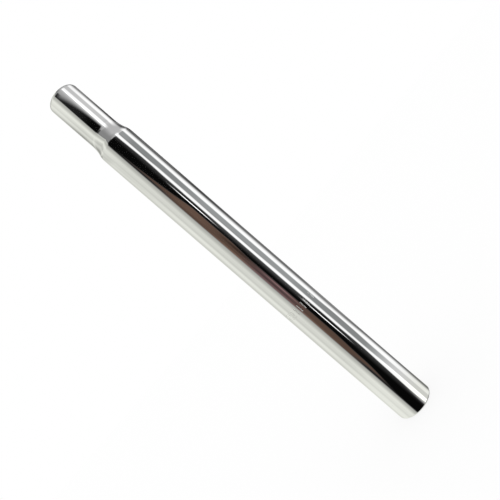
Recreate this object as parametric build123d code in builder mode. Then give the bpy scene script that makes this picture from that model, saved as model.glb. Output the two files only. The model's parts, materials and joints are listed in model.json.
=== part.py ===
from build123d import *
import os

# A straight bicycle seatpost in chrome-plated steel, drawn and swaged from one length of tube.
# It stands on its cut lower end, with the axis on Z and the saddle's neck at the top. Sizes in mm.

# Overall length, from the cut lower end to the rim of the neck
post_length = 300.0

# Main tube, which slides into the bicycle's seat tube and is clamped there
tube_diameter = 26.4
tube_wall = 2.0

# Neck, swaged down from the tube, which the saddle's clamp grips.
# Its length is the straight part, and its wall is thicker because swaging gathers the metal.
neck_diameter = 22.2
neck_length = 35.5
neck_wall = 2.4

# Shoulder between the two: a long hollow curve under the neck, then a tighter one into the tube.
# Each turn is the share of the shoulder's length at which one curve passes into the other.
shoulder_length = 12.0
shoulder_turn = 0.72
bore_turn = 0.78

# Edges: the rim of the neck is rolled round, and the cut end of the tube has a smaller round
rim_radius = 2.0
rim_bore_radius = 0.3
rim_land = 0.1
end_radius = 1.0
end_bore_radius = 0.3

# Levels above the lower end
neck_foot_level = post_length - neck_length
tube_top_level = neck_foot_level - shoulder_length

# Radii of the outside and of the bore
tube_radius = tube_diameter / 2
tube_bore_radius = tube_radius - tube_wall
neck_radius = neck_diameter / 2
neck_bore_radius = neck_radius - neck_wall

# The rolled edge leaves a narrow flat land beside the edge of the bore
rolled_radius = min(rim_radius, neck_wall - rim_bore_radius - rim_land)

# Corners of the half section, as distance from the axis and level
end_outside = Vector(tube_radius, 0)
end_inside = Vector(tube_bore_radius, 0)
tube_top = Vector(tube_radius, tube_top_level)
tube_bore_top = Vector(tube_bore_radius, tube_top_level)
neck_foot = Vector(neck_radius, neck_foot_level)
neck_bore_foot = Vector(neck_bore_radius, neck_foot_level)
rim_outside = Vector(neck_radius, post_length)
rim_inside = Vector(neck_bore_radius, post_length)

rounded_corners = [
    (end_outside, end_radius),
    (end_inside, end_bore_radius),
    (rim_outside, rolled_radius),
    (rim_inside, rim_bore_radius),
]


def swaged_curve(top, foot, turn_share):
    """Draw the shoulder's line as two tangent arcs that leave both straight walls smoothly."""
    turn = top + (foot - top) * turn_share
    hollow = TangentArc(top, turn, tangent=(0, -1))
    TangentArc(turn, foot, tangent=hollow % 1)


# One turned section: up the outside, over the rim and down the bore
with BuildPart() as seatpost:
    with BuildSketch(Plane.XZ) as half_section:
        with BuildLine():
            Polyline(tube_bore_top, end_inside, end_outside, tube_top)
            swaged_curve(neck_foot, tube_top, shoulder_turn)
            Polyline(neck_foot, rim_outside, rim_inside, neck_bore_foot)
            swaged_curve(neck_bore_foot, tube_bore_top, bore_turn)
        make_face()
        for corner, radius in rounded_corners:
            fillet(half_section.vertices().sort_by_distance(corner)[0], radius=radius)
    revolve(axis=Axis.Z)

seatpost.part.label = "seatpost"

os.makedirs("parts", exist_ok=True)
export_step(seatpost.part, "parts/seatpost.step")
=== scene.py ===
import json
import math

import bmesh
import bpy
from mathutils import Matrix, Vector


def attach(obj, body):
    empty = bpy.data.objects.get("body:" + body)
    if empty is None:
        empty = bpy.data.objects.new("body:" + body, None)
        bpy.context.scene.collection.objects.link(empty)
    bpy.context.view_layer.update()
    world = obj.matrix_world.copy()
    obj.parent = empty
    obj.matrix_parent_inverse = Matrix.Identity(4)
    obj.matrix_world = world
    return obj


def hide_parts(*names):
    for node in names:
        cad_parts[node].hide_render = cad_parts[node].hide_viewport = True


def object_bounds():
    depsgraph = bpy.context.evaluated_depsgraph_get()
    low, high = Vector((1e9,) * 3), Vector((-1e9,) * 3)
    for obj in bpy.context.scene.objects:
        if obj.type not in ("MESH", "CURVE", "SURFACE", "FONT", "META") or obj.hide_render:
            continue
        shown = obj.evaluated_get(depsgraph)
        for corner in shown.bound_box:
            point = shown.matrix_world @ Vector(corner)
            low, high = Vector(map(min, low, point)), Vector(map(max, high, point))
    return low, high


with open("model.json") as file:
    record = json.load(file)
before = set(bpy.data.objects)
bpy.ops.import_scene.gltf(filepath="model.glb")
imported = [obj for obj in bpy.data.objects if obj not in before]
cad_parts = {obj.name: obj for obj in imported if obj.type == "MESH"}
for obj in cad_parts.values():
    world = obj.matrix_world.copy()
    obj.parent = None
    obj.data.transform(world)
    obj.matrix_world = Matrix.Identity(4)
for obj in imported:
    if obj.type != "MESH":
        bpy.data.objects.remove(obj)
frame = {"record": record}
cad_low, cad_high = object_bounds()

# Seatpost: one length of steel tube, swaged down at the top to the neck that the saddle's clamp grips.
# It is cut square below, rolled round at the rim and stamped with a row of strokes at the insertion limit.
# The outside is polished lengthwise and chrome-plated, and the bore keeps the dull steel of the drawn tube.
mounts = {mount["name"]: mount for mount in frame["record"]["mounts"]}


def straight_wall(name):
    """Radius, lower level and upper level of one of the post's straight walls, in metres."""
    length = mounts[name]["dims"]["length_mm"] / 1000
    middle = mounts[name]["pos_m"][2]
    return mounts[name]["dims"]["r_mm"] / 1000, middle - length / 2, middle + length / 2


tube_radius, tube_foot, tube_top = straight_wall("seat_tube_shank")
neck_radius, neck_foot, neck_top = straight_wall("saddle_neck")
tube_bore_radius, tube_bore_foot, tube_bore_top = straight_wall("tube_bore")
neck_bore_radius, neck_bore_foot, neck_bore_top = straight_wall("neck_bore")
post_top = cad_high.z
rim_radius = post_top - neck_top
rim_bore_radius = post_top - neck_bore_top

# The shoulder's curves meet at these shares of its length, outside and in the bore
shoulder_turn = 0.72
bore_turn = 0.78


def shoulder_arcs(narrow_radius, wide_radius, turn):
    """Radius of the hollow curve, radius of the tight one and the angle that both turn through."""
    step = wide_radius - narrow_radius
    length = neck_foot - tube_top
    both = (length**2 + step**2) / (2 * step)
    return both * turn, both * (1 - turn), 2 * math.atan(step / length)


hollow, tight, lean = shoulder_arcs(neck_radius, tube_radius, shoulder_turn)
bore_hollow, bore_tight, bore_lean = shoulder_arcs(neck_bore_radius, tube_bore_radius, bore_turn)

# The stamped strokes stand in a row round the tube's front, with a gap before the last one.
# Each takes whole columns of the mesh, and slopes down to its bottom from a narrow land at its mouth.
columns = 256
stroke_places = [0, 1, 2, 3, 4, 5, 6, 8]
stroke_columns = 2
pitch_columns = 9
stroke_length = 0.0056
stroke_level = 0.0975
stroke_land = 0.00003
stroke_draft = 0.00012
stroke_depth = 0.00012
row_middle = math.radians(-100.6)
stroke_foot = stroke_level - stroke_length / 2
stroke_head = stroke_level + stroke_length / 2
column_turn = math.tau / columns
row_start = row_middle - column_turn * (pitch_columns * stroke_places[-1] + stroke_columns) / 2

# A band this narrow at each end of a straight wall keeps the curves beside it out of its shading
edge_band = 0.0001


class SectionPen:
    """Draws the half section as a chain of edges, with the radius on X and the level on Z."""

    def __init__(self, mesh, radius, level):
        self.mesh = mesh
        self.tip = mesh.verts.new((radius, 0, level))

    def line(self, radius, level):
        """Carry the tip straight to a radius and level."""
        drawn = bmesh.ops.extrude_vert_indiv(self.mesh, verts=[self.tip])
        self.tip = drawn["verts"][0]
        self.tip.co = (radius, 0, level)

    def wall(self, radius, level):
        """Carry the tip up or down a straight wall, with a narrow band at each end."""
        upwards = 1 if level > self.tip.co.z else -1
        self.line(radius, self.tip.co.z + upwards * edge_band)
        self.line(radius, level - upwards * edge_band)
        self.line(radius, level)

    def arc(self, radius, level, angle, steps):
        """Carry the tip round a centre, anticlockwise where the angle is positive."""
        drawn = bmesh.ops.spin(
            self.mesh,
            geom=[self.tip],
            cent=(radius, 0, level),
            axis=(0, -1, 0),
            angle=angle,
            steps=steps,
        )
        self.tip = next(part for part in drawn["geom_last"] if isinstance(part, bmesh.types.BMVert))


# The half section: across the cut end, up the outside, over the rim and down the bore
quarter_turn = math.pi / 2
edge_steps = 8
rim_steps = 12
shoulder_steps = 24

post_mesh = bmesh.new()
pen = SectionPen(post_mesh, tube_bore_radius + tube_bore_foot, 0)
pen.line(tube_radius - tube_foot, 0)
pen.arc(tube_radius - tube_foot, tube_foot, quarter_turn, edge_steps)
pen.wall(tube_radius, stroke_foot)
pen.line(tube_radius, stroke_head)
pen.wall(tube_radius, tube_top)
pen.arc(tube_radius - tight, tube_top, lean, shoulder_steps)
pen.arc(neck_radius + hollow, neck_foot, -lean, shoulder_steps)
pen.wall(neck_radius, neck_top)
pen.arc(neck_radius - rim_radius, neck_top, quarter_turn, rim_steps)
pen.line(neck_bore_radius + rim_bore_radius, post_top)
pen.arc(neck_bore_radius + rim_bore_radius, neck_bore_top, quarter_turn, edge_steps)
pen.wall(neck_bore_radius, neck_bore_foot)
pen.arc(neck_bore_radius + bore_hollow, neck_bore_foot, bore_lean, shoulder_steps)
pen.arc(tube_bore_radius - bore_tight, tube_bore_top, -bore_lean, shoulder_steps)
pen.wall(tube_bore_radius, tube_bore_foot)
pen.arc(tube_bore_radius + tube_bore_foot, tube_bore_foot, quarter_turn, edge_steps)

# The section is turned to the row's start and spun round the axis
axis_point = (0, 0, 0)
hairline = 1e-6
bmesh.ops.remove_doubles(post_mesh, verts=post_mesh.verts, dist=hairline)
to_row = Matrix.Rotation(row_start, 3, "Z")
bmesh.ops.rotate(post_mesh, verts=post_mesh.verts, cent=axis_point, matrix=to_row)
bmesh.ops.spin(
    post_mesh,
    geom=post_mesh.verts[:] + post_mesh.edges[:],
    cent=axis_point,
    axis=(0, 0, 1),
    angle=math.tau,
    steps=columns,
    use_merge=True,
)
bmesh.ops.remove_doubles(post_mesh, verts=post_mesh.verts, dist=hairline)
bmesh.ops.recalc_face_normals(post_mesh, faces=post_mesh.faces)


def row_column(face):
    """The mesh column of a face in the stamped row, counted from the first stroke, or None elsewhere."""
    middle = face.calc_center_median()
    outside = math.hypot(middle.x, middle.y) > (tube_radius + tube_bore_radius) / 2
    if outside and stroke_foot < middle.z < stroke_head:
        return int((math.atan2(middle.y, middle.x) - row_start) % math.tau / column_turn)
    return None


def inset_stroke(faces, width, depth):
    """Inset a stroke's faces and sink them, and return the ring of faces made round them."""
    made = bmesh.ops.inset_region(
        post_mesh, faces=faces, thickness=width, depth=-depth, use_even_offset=True
    )
    return made["faces"]


strokes = {place: [] for place in stroke_places}
for face in post_mesh.faces:
    column = row_column(face)
    if column is not None:
        stroke_place, column_in_pitch = divmod(column, pitch_columns)
        if stroke_place in strokes and column_in_pitch < stroke_columns:
            strokes[stroke_place].append(face)
sunk_faces = set()
for struck in strokes.values():
    inset_stroke(struck, stroke_land, 0)
    sloped = inset_stroke(struck, stroke_draft, stroke_depth)
    sunk_faces.update(struck, sloped)

# The bore's finish starts where the rounds at its ends have turned well towards the axis
finishes = ["chrome_plating", "bore_steel", "stamped_plating"]
inward_limit = 0.005
for face in post_mesh.faces:
    middle = face.calc_center_median()
    inward = -face.normal.x * middle.x - face.normal.y * middle.y
    finish = "bore_steel" if inward > inward_limit else "chrome_plating"
    if face in sunk_faces:
        finish = "stamped_plating"
    face.material_index = finishes.index(finish)
    face.smooth = True

post_data = bpy.data.meshes.new("seatpost_tube")
post_mesh.to_mesh(post_data)
post_mesh.free()
seatpost = bpy.data.objects.new("seatpost_tube", post_data)
bpy.context.scene.collection.objects.link(seatpost)


class Socket:
    """An output of a shader node that can be used in plain arithmetic."""

    def __init__(self, tree, output=None):
        self.tree = tree
        self.output = output

    def node(self, kind, settings, sockets, output=0):
        """Add a node: its settings are set first, then its sockets are filled or linked."""
        made = self.tree.nodes.new("ShaderNode" + kind)
        for name, setting in settings.items():
            setattr(made, name, setting)
        for name, value in sockets.items():
            if isinstance(value, Socket):
                self.tree.links.new(value.output, made.inputs[name])
            else:
                made.inputs[name].default_value = value
        return Socket(self.tree, made.outputs[output] if made.outputs else None)

    def math(self, operation, first, second=0.0):
        """Add one step of arithmetic."""
        return self.node("Math", {"operation": operation}, {0: first, 1: second})

    def __add__(self, other):
        return self.math("ADD", self, other)

    def __radd__(self, other):
        return self.math("ADD", other, self)

    def __sub__(self, other):
        return self.math("SUBTRACT", self, other)

    def __rsub__(self, other):
        return self.math("SUBTRACT", other, self)

    def __mul__(self, other):
        return self.math("MULTIPLY", self, other)

    def __rmul__(self, other):
        return self.math("MULTIPLY", other, self)

    def rise(self, start, end):
        """A smooth step from 0 at the start to 1 at the end."""
        return self.node(
            "MapRange",
            {"interpolation_type": "SMOOTHSTEP"},
            {"Value": self, "From Min": start, "From Max": end},
        )

    def fall(self, start, end):
        """A smooth step from 1 at the start to 0 at the end."""
        return 1 - self.rise(start, end)

    def between(self, start, end, soft):
        """1 between two values and 0 outside them, with soft edges."""
        return self.rise(start - soft, start + soft) * self.fall(end - soft, end + soft)

    def blend(self, first, second):
        """Mix two colours by this value."""
        return self.node("Mix", {"data_type": "RGBA"}, {0: self, 6: first, 7: second}, output=2)


def finish_material(name):
    """A new material with an empty shader tree, and a socket wrapper to draw it with."""
    material = bpy.data.materials.new(name)
    material.use_nodes = True
    material.node_tree.nodes.clear()
    return material, Socket(material.node_tree)


def lengthwise(place, grain, stretch):
    """Streaks along the tube, about as many in a metre as the grain says, drawn out by the stretch."""
    squeezed = place.node("Mapping", {}, {"Vector": place, "Scale": (1, 1, 1 / stretch)})
    return place.node("TexNoise", {}, {"Vector": squeezed, "Scale": grain, "Detail": 1.5})


# Chrome plating outside: a mirror with a faint haze, over the fine lines of lengthwise polishing
bright_chrome = (0.765, 0.765, 0.762, 1)
hazy_chrome = (0.725, 0.726, 0.725, 1)
haze_grain = 40.0
polish_grain = 900.0
polish_stretch = 90.0
polish_depth = 5.0e-7
chrome, shade = finish_material("chrome_plating")
place = shade.node("TexCoord", {}, {}, output="Object")
polish = lengthwise(place, polish_grain, polish_stretch)
haze = shade.node("TexNoise", {}, {"Vector": place, "Scale": haze_grain, "Detail": 3.0})
relief = shade.node("Bump", {}, {"Strength": 1.0, "Distance": polish_depth, "Height": polish})
surface = shade.node(
    "BsdfPrincipled",
    {},
    {
        "Base Color": haze.blend(bright_chrome, hazy_chrome),
        "Metallic": 1.0,
        "Roughness": 0.015 + 0.03 * polish + 0.015 * haze,
        "Normal": relief,
    },
)
shade.node("OutputMaterial", {}, {"Surface": surface})
post_data.materials.append(chrome)

# Drawn steel in the bore, with the plating fading out unevenly a little way in from each end
pale_steel = (0.40, 0.39, 0.38, 1)
dark_steel = (0.26, 0.24, 0.22, 1)
thin_plating = (0.66, 0.66, 0.65, 1)
plating_depth = 0.004
plating_fade = 0.012
plating_waver = 0.008
dull_grain = 120.0
draw_grain = 600.0
draw_stretch = 60.0
draw_depth = 5.0e-6
bore_steel, shade = finish_material("bore_steel")
place = shade.node("TexCoord", {}, {}, output="Object")
draw_lines = lengthwise(place, draw_grain, draw_stretch)
dullness = shade.node("TexNoise", {}, {"Vector": place, "Scale": dull_grain, "Detail": 5.0})
level = shade.node("SeparateXYZ", {}, {"Vector": place}, output="Z") + plating_waver * (dullness - 0.5)
plated_foot = level.fall(plating_depth, plating_depth + plating_fade)
plated_rim = level.rise(post_top - plating_depth - plating_fade, post_top - plating_depth)
plated = plated_foot + plated_rim
relief = shade.node("Bump", {}, {"Strength": 1.0, "Distance": draw_depth, "Height": draw_lines})
surface = shade.node(
    "BsdfPrincipled",
    {},
    {
        "Base Color": plated.blend(dullness.blend(pale_steel, dark_steel), thin_plating),
        "Metallic": 0.5 + 0.5 * plated,
        "Roughness": 0.4 + 0.2 * dullness - 0.25 * plated,
        "Normal": relief,
    },
)
shade.node("OutputMaterial", {}, {"Surface": surface})
post_data.materials.append(bore_steel)

# Plating in the stamped strokes, which stays dull and pale because the polishing doesn't reach in
bright_grain = (0.93, 0.93, 0.93, 1)
grey_grain = (0.85, 0.85, 0.845, 1)
stamped_grain = 2500.0
stamped, shade = finish_material("stamped_plating")
place = shade.node("TexCoord", {}, {}, output="Object")
grain = shade.node("TexNoise", {}, {"Vector": place, "Scale": stamped_grain, "Detail": 2.0})
surface = shade.node(
    "BsdfPrincipled",
    {},
    {
        "Base Color": grain.blend(bright_grain, grey_grain),
        "Metallic": 1.0,
        "Roughness": 0.5 + 0.2 * grain,
    },
)
shade.node("OutputMaterial", {}, {"Surface": surface})
post_data.materials.append(stamped)

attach(seatpost, "root")
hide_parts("seatpost")

# Floor: a plain sheet with matt white paint, on which the post stands by its cut lower end.
# The camera sees it as white with the post's soft shadow, because a share of it glows.
# The plating mirrors the studio's own pale floor, so this sheet is left out of reflections.
floor_reach = 4.0
floor_white = (0.98, 0.98, 0.98, 1)
glow_white = (1, 1, 1, 1)
glow_share = 0.8
floor_mesh = bmesh.new()
bmesh.ops.create_grid(floor_mesh, x_segments=1, y_segments=1, size=floor_reach)
floor_data = bpy.data.meshes.new("floor")
floor_mesh.to_mesh(floor_data)
floor_mesh.free()
floor = bpy.data.objects.new("floor", floor_data)
bpy.context.scene.collection.objects.link(floor)
floor.visible_glossy = False
floor_paint, shade = finish_material("floor_paint")
paint = shade.node("BsdfDiffuse", {}, {"Color": floor_white})
glow = shade.node("Emission", {}, {"Color": glow_white, "Strength": 1.0})
seen = shade.node("LightPath", {}, {}, output="Is Camera Ray")
surface = shade.node("MixShader", {}, {0: glow_share * seen, 1: paint, 2: glow})
shade.node("OutputMaterial", {}, {"Surface": surface})
floor_data.materials.append(floor_paint)

# Studio light: a white room that lights the floor evenly. The plating mirrors the room's parts instead:
# pale paper to the left and behind, two upright soft lamps to the right, and a dark side behind the camera.
# Each part is drawn by where its edges lie, in degrees, and how bright it is, as a share of white.
studio = bpy.data.worlds.new("studio")
bpy.context.scene.world = studio
studio.use_nodes = True
studio.node_tree.nodes.clear()
shade = Socket(studio.node_tree)
direction = shade.node("TexCoord", {}, {}, output="Generated")
across, along, upwards = [
    shade.node("SeparateXYZ", {}, {"Vector": direction}, output=axis) for axis in ("X", "Y", "Z")
]

# Azimuth is counted from the camera's side towards the right, and elevation upwards from level.
# The neck mirrors what lies high in the room, and the foot of the tube what lies low.
degrees_in_radian = math.degrees(1)
azimuth = shade.math("ARCTAN2", across, 0 - along) * degrees_in_radian
elevation = shade.math("ARCSINE", upwards) * degrees_in_radian
height = shade.math("ABSOLUTE", elevation)
by_neck = elevation.rise(22, 25.5)
by_foot = elevation.fall(-25, -18.5)

# Paper, which brightens past a soft fold and has streaks of shade further round
paper_edge = (
    azimuth - 2.4
    + 1.8 * elevation.rise(-12, -7)
    + 0.35 * by_neck * (azimuth + 15)
    - 3 * elevation.rise(26, 30)
)
paper_mask = paper_edge.fall(-40.5, -31)
fold_edge = azimuth - 2 - 5 * by_neck + 3 * elevation.rise(-8, 2)
fold = (0.34 + 0.12 * height.rise(18, 25)) * fold_edge.fall(-66, -41)
crease = 0.12 * azimuth.between(-95, -83, 7) + 0.06 * azimuth.between(-88, -66, 6)
sheen_level = 0.1 - 0.2 * elevation.rise(8, 20)
sheen = sheen_level * azimuth.between(-118, -98, 7) * elevation.between(-20, 22, 3)
back_shade = (0.19 + 0.07 * by_neck) * azimuth.fall(-145, -118)
neck_level = by_neck * (1 - 0.8 * elevation.rise(24.5, 30) * elevation.fall(30, 32))
neck_shade = neck_level * (0.14 * azimuth.fall(-80, -62) + 0.2 * azimuth.between(-150, -118, 12))
top_shade = 0.1 * azimuth.between(-135, -66, 10) * elevation.rise(31, 40)
edge_shade = 0.13 * azimuth.between(-152, -112, 14) * elevation.rise(20.4, 22) * elevation.fall(34, 48)
shoulder_shade = 0.13 * azimuth.between(-126, -89, 6) * elevation.between(20.9, 23.4, 0.7)
paper_shade = crease + back_shade + neck_shade + top_shade + edge_shade + shoulder_shade
paper = 0.6 * paper_mask + fold + sheen - paper_shade

# Two upright lamps whose edges wander a little on the way up, with a grey gap between them
lamp_reach = elevation.rise(-44, -34) * elevation.fall(26.5, 43)
near_start = (
    azimuth + 0.8
    - 4.5 * elevation.fall(-29.8, -27)
    + 1.1 * elevation.between(-28, -25.6, 0.8)
    - 3.2 * elevation.rise(-25.5, -21.5) * elevation.fall(-14, -5)
    - 2.6 * elevation.rise(-22.3, -19.3) * elevation.fall(-19, -15)
    - 0.8 * elevation.rise(11, 13)
    - 2.1 * elevation.between(16.2, 19.4, 1.2)
    + 3 * elevation.rise(19.8, 22.3) * elevation.fall(22.5, 24)
)
near_end = (
    azimuth - 4.7 * by_neck - 4 * by_foot
    + 2.2 * elevation.between(-3, 9.5, 3)
    + 0.6 * elevation.rise(10, 13)
    + 1.8 * elevation.rise(16, 18)
)
near_lamp = 1.3 * near_start.rise(36, 42.5) * near_end.fall(51, 60)
gap_level = (
    0.32 + 0.48 * by_foot
    + 0.09 * elevation.between(-8.5, 11, 2.5)
    + 0.08 * elevation.rise(20.3, 21.8)
    + 0.33 * elevation.rise(23.4, 25)
)
lamp_gap = gap_level * azimuth.between(56, 89, 5)
far_start = azimuth + 2 * elevation.between(-9, 14, 2) - 2.6 * elevation.between(-18.5, -12.5, 1.5)
far_end = (
    azimuth - 4.5 - 7 * by_neck
    + 7.5 * elevation.rise(-24, -7)
    + 3 * elevation.rise(25, 30)
    + 4 * elevation.between(-17.5, -10.5, 2)
)
far_level = 1.1 + 0.25 * elevation.rise(-27, -22)
far_lamp = far_level * far_start.rise(84, 94) * far_end.fall(103, 135)
lamps = (near_lamp + lamp_gap + far_lamp) * lamp_reach

# A dim corner beyond the far lamp, and a bright backdrop straight behind
corner_level = (
    0.2
    - 0.12 * elevation.rise(0, 10)
    + 0.2 * elevation.between(27, 31, 2)
    + 0.11 * elevation.between(-16, -9, 2)
)
corner_sheen = 0.13 * azimuth.between(131, 148, 6) * elevation.between(13.5, 22, 2.5)
corner = corner_level * azimuth.rise(106, 142) + corner_sheen
backdrop = 1.1 * azimuth.rise(155, 171) * elevation.rise(-30, -24) * elevation.fall(5, 14)

# The dark side behind the camera, with two slits of light and a faint glow from the near lamp
darkness = 0.003 + 0.014 * elevation.rise(25.5, 28)
upper_slit = elevation.rise(4.8, 9.2) * elevation.fall(10.6, 14.6)
lower_slit = elevation.rise(-18.7, -14.2) * elevation.fall(-12.4, -8.6)
slit_place = azimuth + 1.2 * elevation.rise(-2, 2) - 0.9 * elevation.fall(-17, -13)
slits = slit_place.between(22.6, 25.5, 0.9) * (2.35 * upper_slit + 2.2 * lower_slit)
glow_level = 0.056 + 0.052 * elevation.between(-10, 13, 5)
lamp_glow = glow_level * azimuth.between(27.5, 50, 17) * (1 - 0.7 * (upper_slit + lower_slit))
dark_side = darkness + slits + lamp_glow

# A warm patch on the dark side, which tapers upwards and downwards and has uneven streaks
patch_edge = (
    1.5
    + 7 * elevation.between(1, 11, 2)
    - 25 * elevation.rise(9, 20.5)
    - 7 * elevation.fall(-20.5, -15)
    - 22 * elevation.fall(-27, -20.3)
)
upper_tip = elevation.rise(11, 16) * azimuth.fall(-30, -18)
lower_tip = elevation.fall(-22, -18) * azimuth.fall(-25, -15)
patch_reach = elevation.rise(-29, -24) * elevation.fall(19, 22) * (1 - 0.85 * (upper_tip + lower_tip))
patch_mask = (azimuth - patch_edge).fall(-3.5, 3.5) * patch_reach * (1 - paper_mask)
streak_place = {"W": 0.3 * azimuth, "Scale": 1.0, "Detail": 2.0}
patch_streaks = shade.node("TexNoise", {"noise_dimensions": "1D"}, streak_place)
patch_level = (
    0.09 + 0.06 * patch_streaks
    + 0.1 * azimuth.fall(-30, -20) * elevation.between(-15, 5, 4)
    + 0.04 * azimuth.rise(-26, -16) * elevation.between(6, 12, 2.5)
    + 0.2 * azimuth.between(-9, -3, 3) * elevation.between(-9, -4, 2.5)
    - 0.06 * azimuth.between(-10, 2, 3) * elevation.between(-1, 3.5, 2)
    - 0.04 * azimuth.between(-20, -16, 2) * elevation.between(-8, -2, 2)
)
patch = patch_level * patch_mask

# The ceiling, which lightens the dark side from above and most of all beside the near lamp
over_neck = shade.math("MAXIMUM", elevation - 24.5, 0)
veil_shift = azimuth - 30 + 0.2 * over_neck * over_neck * over_neck
veil_edge = shade.math("DIVIDE", veil_shift, 10 + 3 * over_neck)
veil_side = azimuth.fall(41, 51)
veil_level = (0.85 - 0.065 * over_neck) * (1 + 0.25 * azimuth.rise(22, 36))
veil_reach = by_neck * elevation.fall(33, 38) * (1 - elevation.rise(30, 30.25) * azimuth.fall(0, 10))
veil = veil_level * veil_edge.rise(-1, 1) * veil_side * veil_reach
low_veil = 0.7 * azimuth.rise(22.5, 40.5) * veil_side * elevation.between(-52, -27.3, 1.8)
front_level = 0.29 + 0.16 * azimuth.rise(0, 45)
front_ceiling = front_level * azimuth.between(-30, 45, 14) * elevation.rise(30.7, 35)
side_ceiling = 0.6 * azimuth.between(45, 125, 14) * elevation.rise(28, 43)
ceiling = veil + low_veil + (front_ceiling + side_ceiling) * (1 - 0.8 * elevation.rise(68, 85))

# The studio's pale floor, which shows when the post is seen from above
mirrored_floor = 0.75 * elevation.fall(-70, -46) * (1 - paper_mask)

# Tints: greenish paper, a brown patch that reddens in the middle, a bluish gap and yellowish lamp feet
neutral_tint = (1, 1, 1, 1)
paper_tint = (0.985, 1, 0.925, 1)
brown_tint = (1, 0.62, 0.46, 1)
red_tint = (1, 0.61, 0.61, 1)
gap_tint = (0.96, 0.995, 1, 1)
feet_tint = (0.99, 1, 0.94, 1)
patch_tint = elevation.between(-10, -1, 3).blend(brown_tint, red_tint)
clear_patch = patch_mask * paper_mask.fall(0, 0.3)
gap_mask = azimuth.between(57, 88, 4) * (1 - by_neck) * (1 - by_foot)
lamp_feet = azimuth.rise(30, 40) * elevation.fall(-27.5, -23.5)
tint = paper_mask.blend(neutral_tint, paper_tint)
tint = clear_patch.blend(tint, patch_tint)
tint = gap_mask.blend(tint, gap_tint)
tint = lamp_feet.blend(tint, feet_tint)

mirrored_light = paper + lamps + corner + backdrop + dark_side + patch + ceiling + mirrored_floor
mirrored_room = shade.node("Background", {}, {"Color": tint, "Strength": mirrored_light})
white_room = shade.node("Background", {}, {"Color": neutral_tint, "Strength": 1.0})
from_metal = shade.node("LightPath", {}, {}, output="Is Glossy Ray")
surface = shade.node("MixShader", {}, {0: from_metal, 1: white_room, 2: mirrored_room})
shade.node("OutputWorld", {}, {"Surface": surface})

# Camera: close to the post, about level with its middle and square to its axis.
# It is rolled, so that the upright post leans across the picture from the upper left to the lower right.
image_width_px = 500
focal_length_px = 423
camera_side = 0.00479
camera_distance = 0.273
camera_level = 0.1442
camera_roll = math.radians(49.16)
near_clip = 0.01
camera_data = bpy.data.cameras.new("camera")
camera_data.lens = camera_data.sensor_width * focal_length_px / image_width_px
camera_data.clip_start = near_clip
camera = bpy.data.objects.new("camera", camera_data)
camera.location = (camera_side, -camera_distance, camera_level)
camera.rotation_euler = (quarter_turn, camera_roll, 0)
bpy.context.scene.collection.objects.link(camera)
bpy.context.scene.camera = camera
bpy.context.scene.view_settings.view_transform = "Standard"
